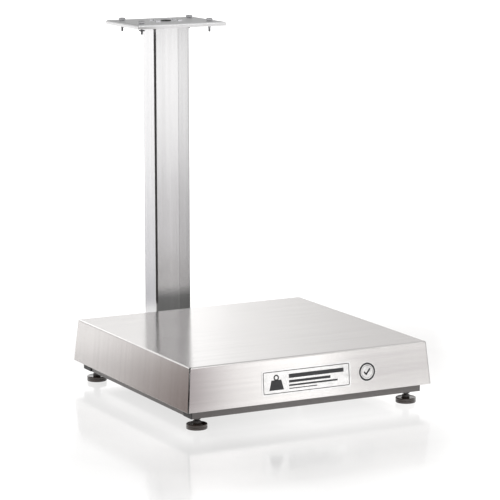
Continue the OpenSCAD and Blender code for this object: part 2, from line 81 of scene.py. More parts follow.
def math_node(tree, operation, a, b=None, clamp=False):
    """A math node on numbers or on other nodes' outputs."""
    node = add(tree, "ShaderNodeMath", operation=operation, use_clamp=clamp)
    for socket, value in zip(node.inputs, (a, b)):
        if value is None:
            continue
        if isinstance(value, (int, float)):
            socket.default_value = value
        else:
            tree.links.new(value, socket)
    return node.outputs[0]


def scaled(tree, value, gain, offset):
    """value * gain + offset."""
    result = math_node(tree, "MULTIPLY_ADD", value, gain)
    result.node.inputs[2].default_value = offset
    return result


def ramp(tree, factor, stops):
    """A colour ramp with stops of (place, grey level or colour)."""
    node = tree.nodes.new("ShaderNodeValToRGB")
    tree.links.new(factor, node.inputs["Fac"])
    elements = node.color_ramp.elements
    while len(elements) < len(stops):
        elements.new(0.5)
    for element, (place, colour) in zip(elements, stops):
        element.position = place
        if isinstance(colour, (int, float)):
            colour = (colour, colour, colour)
        element.color = (*colour, 1)
    return node.outputs["Color"]


def stretched_noise(tree, coordinate, scale, detail=3.0, roughness=0.55):
    """Noise with its own scale along each axis."""
    mapping = tree.nodes.new("ShaderNodeMapping")
    mapping.inputs["Scale"].default_value = scale
    tree.links.new(coordinate, mapping.inputs["Vector"])
    noise = tree.nodes.new("ShaderNodeTexNoise")
    noise.inputs["Scale"].default_value = 1.0
    noise.inputs["Detail"].default_value = detail
    noise.inputs["Roughness"].default_value = roughness
    tree.links.new(mapping.outputs["Vector"], noise.inputs["Vector"])
    return noise.outputs["Fac"]


def spread(value, amount):
    """Three colours: darker, as given and lighter, for a colour ramp."""
    return [tuple(min(1, c * k) for c in value) for k in (1 - amount, 1, 1 + amount)]


def relief(tree, shader, height, strength, depth, edge):
    """Fine relief on the surface, over edges that look rounded by a radius in mm."""
    bevel = add(tree, "ShaderNodeBevel", samples=4)
    bevel.inputs["Radius"].default_value = edge * MM
    bump = tree.nodes.new("ShaderNodeBump")
    bump.inputs["Strength"].default_value = strength
    bump.inputs["Distance"].default_value = depth
    tree.links.new(height, bump.inputs["Height"])
    tree.links.new(bevel.outputs["Normal"], bump.inputs["Normal"])
    tree.links.new(bump.outputs["Normal"], shader.inputs["Normal"])


# ------------------------------------------------------------------- materials


def brushed(name, colour, roughness, grain, anisotropic=0.6, grain_depth=0.5, tone=0.04,
            edge=0.35, unfolded=False, painted_shade_bands=None):
    """Brushed or satin metal. The grain runs along an axis of the row frame, or along v of an unfolded sheet.
    The painted shade bands, if given, hold the first x, the last x and stops of (place between them, tone):
    painted light and shade that tones the base colour from side to side of a face. edge is a radius in mm."""
    material, tree, shader = start_material(name)
    place = tree.nodes.new("ShaderNodeTexCoord")
    long, across = 6.0, 900.0
    broad_long, broad_across = 1.6, 130.0
    if unfolded:
        coordinate = place.outputs["UV"]
        scale = (across, long, 1)
        broad_scale = (broad_across, broad_long, 1)
    else:
        coordinate = place.outputs["Object"]
        scale = tuple(long if axis == grain else across for axis in "XYZ")
        broad_scale = tuple(broad_long if axis == grain else broad_across for axis in "XYZ")
    fine = stretched_noise(tree, coordinate, scale, 2.0)
    broad = stretched_noise(tree, coordinate, broad_scale, 4.0, 0.6)
    cloud = stretched_noise(tree, coordinate, (7, 7, 7), 3.0)
    low, mid, high = spread(colour, tone)
    base = ramp(tree, broad, [(0.25, low), (0.5, mid), (0.78, high)])
    # Painted light and shade: the base colour is multiplied by a ramp across x
    if painted_shade_bands:
        first, last, stops = painted_shade_bands
        split = tree.nodes.new("ShaderNodeSeparateXYZ")
        tree.links.new(coordinate, split.inputs[0])
        along = tree.nodes.new("ShaderNodeMapRange")
        along.inputs["From Min"].default_value = first
        along.inputs["From Max"].default_value = last
        tree.links.new(split.outputs["X"], along.inputs["Value"])
        painted_shade_colour = add(tree, "ShaderNodeVectorMath", operation="MULTIPLY")
        tree.links.new(base, painted_shade_colour.inputs[0])
        tree.links.new(ramp(tree, along.outputs[0], stops), painted_shade_colour.inputs[1])
        base = painted_shade_colour.outputs["Vector"]
    tree.links.new(base, shader.inputs["Base Color"])
    shader.inputs["Metallic"].default_value = 1.0
    rough = scaled(tree, cloud, 0.05, roughness - 0.025)
    combined = math_node(tree, "MULTIPLY_ADD", fine, 0.08)
    tree.links.new(rough, combined.node.inputs[2])
    lowered = math_node(tree, "SUBTRACT", combined, 0.04, clamp=True)
    tree.links.new(lowered, shader.inputs["Roughness"])
    shader.inputs["Anisotropic"].default_value = anisotropic
    if unfolded:
        tangent = add(tree, "ShaderNodeTangent", direction_type="UV_MAP", uv_map="sheet")
        tree.links.new(tangent.outputs["Tangent"], shader.inputs["Tangent"])
    else:
        geometry = tree.nodes.new("ShaderNodeNewGeometry")
        cross = add(tree, "ShaderNodeVectorMath", operation="CROSS_PRODUCT")
        tree.links.new(geometry.outputs["Normal"], cross.inputs[0])
        cross.inputs[1].default_value = tuple(1.0 if axis == grain else 0.06 for axis in "XYZ")
        tree.links.new(cross.outputs["Vector"], shader.inputs["Tangent"])
    relief(tree, shader, fine, grain_depth, 0.004 * MM, edge)
    return material


def machined(name, colour, roughness, edge=0.35, metallic=1.0):
    """Plated or machined metal with fine, even marks and slight staining."""
    material, tree, shader = start_material(name)
    place = tree.nodes.new("ShaderNodeTexCoord")
    marks = stretched_noise(tree, place.outputs["Object"], (1400, 1400, 1400), 2.0)
    stain = stretched_noise(tree, place.outputs["Object"], (60, 60, 60), 4.0, 0.6)
    low, mid, high = spread(colour, 0.12)
    tree.links.new(ramp(tree, stain, [(0.3, low), (0.5, mid), (0.7, high)]), shader.inputs["Base Color"])
    shader.inputs["Metallic"].default_value = metallic
    tree.links.new(scaled(tree, stain, 0.2, roughness - 0.1), shader.inputs["Roughness"])
    relief(tree, shader, marks, 0.3, 0.01 * MM, edge)
    return material


def moulded(name, colour, roughness, grain_size, depth, coat=0.0, edge=0.5, specular=0.5):
    """Moulded rubber or plastic with a fine texture."""
    material, tree, shader = start_material(name)
    place = tree.nodes.new("ShaderNodeTexCoord")
    texture = stretched_noise(tree, place.outputs["Object"], (1 / grain_size,) * 3, 3.0)
    wear = stretched_noise(tree, place.outputs["Object"], (90, 90, 90), 4.0, 0.6)
    low, mid, high = spread(colour, 0.25)
    tree.links.new(ramp(tree, wear, [(0.3, low), (0.5, mid), (0.72, high)]), shader.inputs["Base Color"])
    tree.links.new(scaled(tree, wear, 0.2, roughness - 0.1), shader.inputs["Roughness"])
    shader.inputs["Specular IOR Level"].default_value = specular
    shader.inputs["Coat Weight"].default_value = coat
    shader.inputs["Coat Roughness"].default_value = 0.12
    relief(tree, shader, texture, 0.35, depth, edge)
    return material


def clear(name, colour, roughness=0.02, ior=1.45):
    """Clear plastic or a liquid behind it, with a trace of haze."""
    material, tree, shader = start_material(name)
    place = tree.nodes.new("ShaderNodeTexCoord")
    haze = stretched_noise(tree, place.outputs["Object"], (300, 300, 300), 2.0)
    low, mid, high = spread(colour, 0.04)
    tree.links.new(ramp(tree, haze, [(0.3, low), (0.5, mid), (0.7, high)]), shader.inputs["Base Color"])
    shader.inputs["Roughness"].default_value = roughness
    shader.inputs["IOR"].default_value = ior
    shader.inputs["Transmission Weight"].default_value = 1.0
    return material


column_lo, column_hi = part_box("column")
# Painted light and shade across the column: its left face lighter, its front face darker past the seam and a
# dark painted reflection band near its right corner
column_painted_shade = ((0.0, 1.0), (0.03, 0.90), (0.655, 0.90), (0.675, 0.79), (0.80, 0.77), (0.93, 0.75),
                (0.955, 0.55), (0.985, 0.55), (1.0, 0.86))
steel = {
    "stainless_sheet": brushed("platter_steel", (0.70, 0.683, 0.673), 0.17, "X", 0.75, 0.5, 0.055, 0.3, True),
    "column_steel": brushed("column_steel", (0.70, 0.695, 0.70), 0.22, "Z", 0.6, 0.5, 0.06,
                            painted_shade_bands=(column_lo.x, column_hi.x, column_painted_shade)),
    "plate_steel": brushed("plate_steel", (0.715, 0.713, 0.715), 0.30, "X", 0.4, 0.6, 0.04),
    "stainless_tube": brushed("tube_steel", (0.60, 0.59, 0.58), 0.28, "Y", 0.5, 0.5, 0.05),
    "frame_steel": brushed("frame_steel", (0.155, 0.148, 0.145), 0.34, "X", 0.5, 0.6, 0.06),
    "bracket_steel": brushed("bracket_steel", (0.58, 0.57, 0.56), 0.30, "Y", 0.5, 0.6, 0.05),
}
frame_steel_y = brushed("frame_steel_y", (0.155, 0.148, 0.145), 0.34, "Y", 0.5, 0.6, 0.06)
# Dark steel for the platter's inner faces and cut ends: painted shade inside the platter
sheet_inside_painted_shade = brushed("sheet_inside_painted_shade", (0.13, 0.125, 0.12), 0.45, "X", 0.2, 0.4, 0.08)
tube_steel_x = brushed("tube_steel_x", (0.60, 0.59, 0.58), 0.28, "X", 0.5, 0.5, 0.05)
others = {
    "zinc_fastener": machined("zinc_plate", (0.60, 0.60, 0.62), 0.28),
    "thumb_screw_steel": machined("thumb_screw_steel", (0.36, 0.36, 0.37), 0.34, 0.15),
    "cell_aluminium": machined("anodised_aluminium", (0.72, 0.73, 0.75), 0.36),
    "brass_gland": machined("machined_brass", (0.66, 0.50, 0.24), 0.26),
    "black_rubber": moulded("black_rubber", (0.018, 0.018, 0.018), 0.62, 0.0006, 0.00006),
    "foot_rubber": moulded("foot_rubber", (0.022, 0.013, 0.009), 0.24, 0.0009, 0.00002, 0.7),
    "black_plastic": moulded("black_nylon", (0.022, 0.022, 0.022), 0.45, 0.0005, 0.00004),
    "black_steel": machined("blackened_steel", (0.075, 0.07, 0.068), 0.38, 0.2, 0.6),
    "label_foil": machined("label_foil", (0.74, 0.735, 0.73), 0.24, 0.1),
    "label_print": moulded("label_print", (0.012, 0.012, 0.014), 0.35, 0.0004, 0.000004, 0.1, 0.05),
    "level_fluid": clear("level_fluid", (0.55, 0.85, 0.12), 0.02, 1.36),
    "clear_lens": clear("clear_lens", (0.93, 0.96, 0.97), 0.02, 1.49),
}
print_black = moulded("label_print_black", (0.02, 0.02, 0.021), 0.4, 0.0004, 0.000003, 0.1, 0.05)

slot_of = {part["node"]: part["material_slot"] for part in frame["record"]["subparts"]}


def paint(obj, material):
    """Gives a CAD node its one material."""
    obj.data.materials.clear()
    obj.data.materials.append(material)


for name, obj in frame["nodes"].items():
    slot = slot_of[name]
    paint(obj, steel.get(slot) or others[slot])
for name in ("rail_left", "rail_right", "cell_beam"):
    paint(frame["nodes"][name], frame_steel_y)
for name in ("spider_cross_beam", "spider_rear_tie"):
    paint(frame["nodes"][name], tube_steel_x)


# ---------------------------------------------------------------- mesh helpers


def finish_mesh(name, bm, material, body, nodes=(), sharp_deg=30, bevel=None):
    """Turns a bmesh into a piece that rides on a body and stands in for the nodes."""
    bmesh.ops.recalc_face_normals(bm, faces=bm.faces)
    for face in bm.faces:
        face.smooth = True
    limit = math.radians(sharp_deg)
    for edge in bm.edges:
        edge.smooth = len(edge.link_faces) == 2 and edge.calc_face_angle(0) < limit
    mesh = bpy.data.meshes.new(name)
    bm.to_mesh(mesh)
    bm.free()
    obj = bpy.data.objects.new(name, mesh)
    scene.collection.objects.link(obj)
    for each in material if isinstance(material, (list, tuple)) else [material]:
        mesh.materials.append(each)
    if bevel:
        modifier = obj.modifiers.new("edges", "BEVEL")
        modifier.width = bevel
        modifier.segments = 2
        modifier.limit_method = "ANGLE"
        modifier.angle_limit = limit
        modifier.harden_normals = False
    weighted = obj.modifiers.new("normals", "WEIGHTED_NORMAL")
    weighted.keep_sharp = True
    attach(obj, body)
    if nodes:
        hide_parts(*nodes)
    return obj


def skin(bm, rings):
    """Closed body over rings of equal length: its sides, then its two ends."""
    for lower, upper in zip(rings, rings[1:]):
        for k in range(len(lower)):
            j = (k + 1) % len(lower)
            bm.faces.new([lower[k], lower[j], upper[j], upper[k]])
    bm.faces.new(list(reversed(rings[0])))
    bm.faces.new(rings[-1])


def lathe(bm, profile, centre, steps=64, ribs=None):
    """Turns a closed profile of (radius, z) about a vertical axis. ribs(radius, angle) may alter a radius."""
    cx, cy = centre
    rings = []
    for r, z in profile:
        if r < 1e-7:
            rings.append([bm.verts.new((cx, cy, z))])
            continue
        ring = []
        for k in range(steps):
            a = 2 * math.pi * k / steps
            rr = ribs(r, a) if ribs else r
            ring.append(bm.verts.new((cx + rr * math.cos(a), cy + rr * math.sin(a), z)))
        rings.append(ring)
    for lower, upper in zip(rings, rings[1:]):
        for k in range(steps):
            j = (k + 1) % steps
            corners = [lower[k % len(lower)], lower[j % len(lower)],
                       upper[j % len(upper)], upper[k % len(upper)]]
            unique = []
            for v in corners:
                if v not in unique:
                    unique.append(v)
            if len(unique) > 2:
                bm.faces.new(unique)


def prism(bm, outline, z0, z1, matrix, chamfer=0.0):
    """Closed prism from a flat outline, with its top edge chamfered."""
    centre = Vector([sum(p[axis] for p in outline) / len(outline) for axis in (0, 1)])
    loops = [(z0, 0.0), (z1 - chamfer, 0.0)] + ([(z1, chamfer)] if chamfer else [])
    rings = []
    for z, inset in loops:
        ring = []
        for x, y in outline:
            d = Vector((x, y)) - centre
            d = d * (1 - inset / max(d.length, 1e-9))
            ring.append(bm.verts.new(matrix @ Vector((centre.x + d.x, centre.y + d.y, z))))
        rings.append(ring)
    skin(bm, rings)


def rounded_outline(w, d, r, steps=6):
    """Rectangle about the origin with rounded corners."""
    points = []
    for cx, cy, start in ((w / 2 - r, d / 2 - r, 0), (r - w / 2, d / 2 - r, 90),
                          (r - w / 2, r - d / 2, 180), (w / 2 - r, r - d / 2, 270)):
        for k in range(steps + 1):
            a = math.radians(start + 90 * k / steps)
            points.append((cx + r * math.cos(a), cy + r * math.sin(a)))
    return points


def ring_prism(bm, r0, r1, z0, z1, matrix, steps=48):
    """Flat ring between two radii and two heights."""
    rings = []
    for r, z in ((r0, z0), (r1, z0), (r1, z1), (r0, z1)):
        rings.append([bm.verts.new(matrix @ Vector((r * math.cos(2 * math.pi * k / steps),
                                                    r * math.sin(2 * math.pi * k / steps), z)))
                      for k in range(steps)])
    for i in range(4):
        for k in range(steps):
            j = (k + 1) % steps
            a, b = rings[i], rings[(i + 1) % 4]
            bm.faces.new([a[k], a[j], b[j], b[k]])


# --------------------------------------------------------------------- platter

# As in the CAD: outer radius of a fold, thickness, slope of a skirt, gap at a corner; half the top's width
# and the height of a skirt
lo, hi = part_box("platter")
FOLD, SHEET, FLARE, GAP = 3.5 * MM, 1.5 * MM, math.radians(5), 2.4 * MM
HALF, SKIRT = 228.6 * MM, 75.2 * MM
EDGE_BEVEL = 0.32 * MM
platter_mid = (lo + hi) / 2
top_z = hi.z


def platter_profile(steps=14):
    """Outer and inner points of a fold and its skirt: (distance out, height)."""
    turn = math.pi / 2 - FLARE
    outer, inner = [], []
    for k in range(steps + 1):
        a = turn * k / steps
        outer.append((FOLD * math.sin(a), FOLD * math.cos(a) - FOLD))
        inner.append(((FOLD - SHEET) * math.sin(a), (FOLD - SHEET) * math.cos(a) - FOLD))
    straight = (SKIRT - FOLD + FOLD * math.sin(FLARE)) / math.cos(FLARE)
    down = (math.sin(FLARE) * straight, -math.cos(FLARE) * straight)
    parts = 6
    for points in (outer, inner):
        x, z = points[-1]
        for k in range(1, parts + 1):
            points.append((x + down[0] * k / parts, z + down[1] * k / parts))
    return outer, inner


def build_platter():
    """The platter as one closed sheet: four sides with their folds, open at the corners, and the flat top.
    Inner faces and the sheet's cut ends get the second material, a dark steel that paints the shade inside
    the platter."""
    bm = bmesh.new()
    sheet = bm.loops.layers.uv.new("sheet")
    flat = HALF - FOLD
    half_gap = GAP / math.sqrt(2)
    outer, inner = platter_profile()
    length = [0.0]
    for (x0, z0), (x1, z1) in zip(outer, outer[1:]):
        length.append(length[-1] + math.hypot(x1 - x0, z1 - z0))
    along = 12
    top_ring, under_ring = [], []
    uv_of = {}

    def place(side, out, across, z, developed):
        """A point on one side of the tray, with its place on the flat sheet."""
        x, y = flat + out, across
        turns = {0: (x, y), 1: (-y, x), 2: (-x, -y), 3: (y, -x)}[side]
        flat_x, flat_y = {0: (flat + developed, y), 1: (-y, flat + developed),
                          2: (-flat - developed, -y), 3: (y, -flat - developed)}[side]
        v = bm.verts.new((platter_mid.x + turns[0], platter_mid.y + turns[1], top_z + z))
        uv_of[v] = (flat_y, flat_x)
        return v

    def share(t, reach):
        """The place t of the way from -reach to reach."""
        return -reach + 2 * reach * t

    for side in range(4):
        grids = []
        for points in (outer, inner):
            grid = []
            for (out, z), developed in zip(points, length):
                reach = flat + out - half_gap
                grid.append([place(side, out, share(k / along, reach), z, developed)
                             for k in range(along + 1)])
            grids.append(grid)
        for inside, grid in enumerate(grids):
            for row, below in zip(grid, grid[1:]):
                for k in range(along):
                    bm.faces.new([row[k], row[k + 1], below[k + 1], below[k]]).material_index = inside
        for k in (0, along):
            for i in range(len(outer) - 1):
                ends = [grids[0][i][k], grids[0][i + 1][k], grids[1][i + 1][k], grids[1][i][k]]
                bm.faces.new(ends).material_index = 1
        for k in range(along):
            bm.faces.new([grids[0][-1][k], grids[0][-1][k + 1], grids[1][-1][k + 1], grids[1][-1][k]])
        corner_a = {0: (flat, flat), 1: (-flat, flat), 2: (-flat, -flat), 3: (flat, -flat)}[side]
        corners = []
        for z in (0.0, -SHEET):
            v = bm.verts.new((platter_mid.x + corner_a[0], platter_mid.y + corner_a[1], top_z + z))
            uv_of[v] = (corner_a[1], corner_a[0])
            corners.append(v)
        top_ring += grids[0][0] + [corners[0]]
        under_ring += grids[1][0] + [corners[1]]
    bm.faces.new(top_ring)
    bm.faces.new(list(reversed(under_ring))).material_index = 1
    n = len(top_ring)
    per_side = along + 2
    for side in range(4):
        corner = side * per_side + along + 1
        before, after = corner - 1, (corner + 1) % n
        bm.faces.new([top_ring[before], top_ring[corner], under_ring[corner], under_ring[before]])
        bm.faces.new([top_ring[corner], top_ring[after], under_ring[after], under_ring[corner]])
    for face in bm.faces:
        for loop in face.loops:
            loop[sheet].uv = uv_of[loop.vert]
    return bm


finish_mesh("platter_sheet", build_platter(), (steel["stainless_sheet"], sheet_inside_painted_shade), "platter",
            ["platter"], 30, EDGE_BEVEL)


# ----------------------------------------------------------------- front labels

# Foil thickness and its chamfer, outer sizes, and the print's lower and upper face over the foil
FOIL, FOIL_CHAMFER = 0.3 * MM, 0.08 * MM
LABEL_W, LABEL_H, SEAL_R = 172 * MM, 44 * MM, 17 * MM
PRINT_Z = (-0.02 * MM, 0.05 * MM)


def skirt_matrix(node):
    """Local frame on the front skirt: x across, y up the skirt, z outwards, its origin on the foil's face."""
    a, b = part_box(node)
    normal = Vector((0, -math.cos(FLARE), math.sin(FLARE)))
    up = Vector((0, math.sin(FLARE), math.cos(FLARE)))
    right = Vector((1, 0, 0))
    matrix = Matrix((right, up, normal)).transposed().to_4x4()
    return Matrix.Translation((a + b) / 2 + normal * FOIL / 2) @ matrix


def strip(bm, x0, y0, x1, y1, width, matrix, z0, z1):
    """Straight bar between two points."""
    d = Vector((x1 - x0, y1 - y0)).normalized()
    n = Vector((-d.y, d.x)) * width / 2
    prism(bm, [(x0 + n.x, y0 + n.y), (x0 - n.x, y0 - n.y), (x1 - n.x, y1 - n.y), (x1 + n.x, y1 + n.y)],
          z0, z1, matrix)


on_label = skirt_matrix("front_label")
label_body = bmesh.new()
prism(label_body, rounded_outline(LABEL_W, LABEL_H, 4 * MM), -FOIL, 0, on_label, FOIL_CHAMFER)
finish_mesh("label_overlay", label_body, others["label_foil"], "platter", ["front_label"])

marks = bmesh.new()
outer_line = rounded_outline(LABEL_W - 6 * MM, LABEL_H - 6 * MM, 2.6 * MM)
inner_line = rounded_outline(LABEL_W - 8.4 * MM, LABEL_H - 8.4 * MM, 1.4 * MM)
count = len(outer_line)
rows = [[marks.verts.new(on_label @ Vector((x, y, z))) for x, y in outline]
        for outline, z in ((outer_line, PRINT_Z[0]), (outer_line, PRINT_Z[1]),
                           (inner_line, PRINT_Z[1]), (inner_line, PRINT_Z[0]))]
for i in range(4):
    for k in range(count):
        j = (k + 1) % count
        marks.faces.new([rows[i][k], rows[i][j], rows[(i + 1) % 4][j], rows[(i + 1) % 4][k]])
weight = [(-72, -13), (-44, -13), (-48.6, 4.2), (-67.4, 4.2)]
prism(marks, [(x * MM, y * MM) for x, y in weight], *PRINT_Z, on_label)
ring_at = on_label @ Matrix.Translation((-58 * MM, 8.2 * MM, 0))
ring_prism(marks, 2.8 * MM, 5.2 * MM, *PRINT_Z, ring_at, 32)
for x0, x1, y, w in ((-34, 72, 8.6, 7.0), (-34, 46, -0.6, 4.4), (-34, 60, -7.2, 3.0), (-34, 20, -12.6, 1.6)):
    strip(marks, x0 * MM, y * MM, x1 * MM, y * MM, w * MM, on_label, *PRINT_Z)
finish_mesh("label_print", marks, others["label_print"], "platter", ())

on_seal = skirt_matrix("round_seal")
seal_body = bmesh.new()
circle = [(SEAL_R * math.cos(math.radians(t)), SEAL_R * math.sin(math.radians(t)))
          for t in (360 * k / 64 for k in range(64))]
prism(seal_body, circle, -FOIL, 0, on_seal, FOIL_CHAMFER)
finish_mesh("seal_disc", seal_body, others["label_foil"], "platter", ["round_seal"])
seal_marks = bmesh.new()
ring_prism(seal_marks, 12.6 * MM, 15.8 * MM, *PRINT_Z, on_seal, 64)
ring_prism(seal_marks, 10.4 * MM, 11.0 * MM, *PRINT_Z, on_seal, 64)
strip(seal_marks, -6.0 * MM, 0.4 * MM, -1.6 * MM, -4.6 * MM, 3.0 * MM, on_seal, *PRINT_Z)
strip(seal_marks, -2.8 * MM, -5.0 * MM, 6.2 * MM, 5.4 * MM, 3.0 * MM, on_seal, *PRINT_Z)
finish_mesh("seal_print", seal_marks, others["label_print"], "platter", ())


# ------------------------------------------------------------------------- feet


def foot_profile(r, h):
    """Rounded disc with a groove under its rim and a shallow dish on top."""
    points = [(0, 0.0), (r - 2.4 * MM, 0.0), (r - 1.5 * MM, 0.12 * MM)]
    for k in range(5):
        a = math.radians(-60 + 60 * k / 4)
        points.append((r - 1.4 * MM + 1.4 * MM * math.cos(a), 1.5 * MM + 1.4 * MM * math.sin(a)))
    points += [(r, 4.2 * MM), (r - 0.35 * MM, 4.6 * MM), (r - 0.35 * MM, 5.0 * MM), (r, 5.4 * MM)]
    for k in range(7):
        a = math.radians(90 * k / 6)
        points.append((r - 1.5 * MM + 1.5 * MM * math.cos(a), h - 1.5 * MM + 1.5 * MM * math.sin(a)))
    points += [(r - 3.2 * MM, h), (r - 3.9 * MM, h - 0.5 * MM), (8.6 * MM, h - 0.5 * MM), (8.2 * MM, h),
               (3.1 * MM, h), (3.05 * MM, h - 0.3 * MM), (3.05 * MM, h - 5.2 * MM), (0, h - 5.2 * MM)]
    return points


def thread(bm, centre, z0, z1, crest, root, pitch, steps=28):
    """Screw thread as a helical surface closed at both ends."""
    cx, cy = centre
    turns = (z1 - z0) / pitch
    rows = int(turns * 6)
    rings = []
    for i in range(rows + 1):
        z = z0 + (z1 - z0) * i / rows
        ring = []
        for k in range(steps):
            a = 2 * math.pi * k / steps
            phase = ((z - z0) / pitch - k / steps) % 1.0
            depth = abs(2 * phase - 1)
            fade = min(1.0, min(z - z0, z1 - z) / (0.8 * pitch))
            r = crest - (crest - root) * (1 - (1 - depth) * fade)
            ring.append(bm.verts.new((cx + r * math.cos(a), cy + r * math.sin(a), z)))
        rings.append(ring)
    skin(bm, rings)


def chamfered_hexagon(bm, centre, flats, z0, z1, matrix=Matrix.Identity(4)):
    """Hexagon with its corners turned down on both faces."""
    cx, cy = centre
    rings = []
    steps = 48
    for z in (z0, z0 + 0.35 * MM, z0 + 0.7 * MM, z1 - 0.7 * MM, z1 - 0.35 * MM, z1):
        ring = []
        for k in range(steps):
            a = 2 * math.pi * k / steps
            local = (a + math.pi / 6) % (math.pi / 3) - math.pi / 6
            edge = flats / 2 / math.cos(local)
            near = min(abs(z - z0), abs(z1 - z))
            limit = flats / 2 - 0.1 * MM + near * 1.8
            r = min(edge, limit)
            ring.append(bm.verts.new(matrix @ Vector((cx + r * math.sin(a), cy + r * math.cos(a), z))))
        rings.append(ring)
    skin(bm, rings)


for corner in ("front_left", "front_right", "rear_left", "rear_right"):
    a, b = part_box("foot_pad_" + corner)
    middle = ((a.x + b.x) / 2, (a.y + b.y) / 2)
    pad = bmesh.new()
    lathe(pad, [(r, z + a.z) for r, z in foot_profile((b.x - a.x) / 2, b.z - a.z)], middle, 72)
    finish_mesh("foot_disc_" + corner, pad, others["foot_rubber"], "foot_pad_" + corner,
                ["foot_pad_" + corner], 40)
    pad_top = b.z
    a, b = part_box("foot_stud_" + corner)
    stud = bmesh.new()
    chamfered_hexagon(stud, middle, 13 * MM, pad_top, pad_top + 4.5 * MM)
    thread(stud, middle, pad_top + 4.4 * MM, b.z, 4.0 * MM, 3.4 * MM, 1.25 * MM)
    lathe(stud, [(0, a.z), (2.8 * MM, a.z), (3.0 * MM, a.z + 0.3 * MM), (3.0 * MM, pad_top + 0.1 * MM),
                 (0, pad_top + 0.1 * MM)], middle, 32)
    finish_mesh("foot_screw_" + corner, stud, others["black_steel"], "foot_stud_" + corner,
                ["foot_stud_" + corner], 35)


# ------------------------------------------------------------- indicator screws


a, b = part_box("indicator_screws")
plate_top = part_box("indicator_plate")[1].z
head_r = 6 * MM


def knurl(r, angle):
    """Forty ribs on the rim of a screw's head."""
    if r <= head_r - 0.3 * MM:
        return r
    return r - 0.22 * MM * (0.5 + 0.5 * math.cos(40 * angle))


screw_bm = bmesh.new()
for x in (a.x + head_r, b.x - head_r):
    for y in (a.y + head_r, b.y - head_r):
        head = [(0, plate_top), (head_r - 1.6 * MM, plate_top), (head_r - 1.6 * MM, plate_top + 0.6 * MM),
                (head_r - 0.7 * MM, plate_top + 0.9 * MM)]
        rim = [(head_r, plate_top + 1.5 * MM), (head_r, b.z - 1.0 * MM)]
        cap = [(head_r - 0.6 * MM, b.z - 0.4 * MM), (head_r - 1.3 * MM, b.z - 0.1 * MM),
               (head_r - 1.9 * MM, b.z), (head_r - 2.6 * MM, b.z - 0.25 * MM), (0, b.z - 0.35 * MM)]
        lathe(screw_bm, head + rim + cap, (x, y), 160, knurl)
        lathe(screw_bm, [(0, a.z + 5.8 * MM), (2.45 * MM, a.z + 5.8 * MM), (2.45 * MM, plate_top + 0.1 * MM),
                         (0, plate_top + 0.1 * MM)], (x, y), 32)
        thread(screw_bm, (x, y), a.z, a.z + 6 * MM, 2.25 * MM, 1.95 * MM, 0.8 * MM, 20)
finish_mesh("thumb_screws", screw_bm, others["thumb_screw_steel"], "base", ["indicator_screws"],
            35)


# ------------------------------------------------------ bubble level and plate

a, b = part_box("level_lens")
level = ((a.x + b.x) / 2, (a.y + b.y) / 2)
bubble = bmesh.new()
bubble_r = 2.6 * MM
lathe(bubble, [(bubble_r * math.sin(math.radians(t)), a.z - 1.1 * MM + 0.9 * MM * -math.cos(math.radians(t)))
               for t in range(0, 181, 12)], (level[0] + 0.6 * MM, level[1] - 0.4 * MM), 32)
finish_mesh("level_bubble", bubble, others["clear_lens"], "base", (), 60)
rings = bmesh.new()
on_level = Matrix.Translation((level[0], level[1], 0))
for r in (3.2 * MM, 6.0 * MM):
    ring_prism(rings, r, r + 0.35 * MM, b.z - 0.02 * MM, b.z + 0.05 * MM, on_level, 40)
finish_mesh("level_rings", rings, print_black, "base")

a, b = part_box("rating_plate")
on_plate = Matrix.Translation(((a.x + b.x) / 2, b.y, (a.z + b.z) / 2)) @ Matrix(
    ((-1, 0, 0), (0, 0, 1), (0, 1, 0))).to_4x4()
rating = bmesh.new()
for x0, x1, y in ((-22, 22, 5.2), (-22, 6, 2.2), (-22, 14, -0.6), (-22, 2, -3.4), (-22, 10, -6.2)):
    strip(rating, x0 * MM, y * MM, x1 * MM, y * MM, 0.9 * MM, on_plate, -0.02 * MM, 0.03 * MM)
prism(rating, [(18 * MM, -6.5 * MM), (26 * MM, -6.5 * MM), (26 * MM, 1.5 * MM), (18 * MM, 1.5 * MM)],
      -0.02 * MM, 0.03 * MM, on_plate)
finish_mesh("rating_marks", rating, print_black, "base")


# --------------------------------------------------------------- stage and light

# Stops for a card without a soft edge, and the height of the cards that lie on the floor
EVEN = ((0.0, 1.0), (1.0, 1.0))
LOW = 0.0004


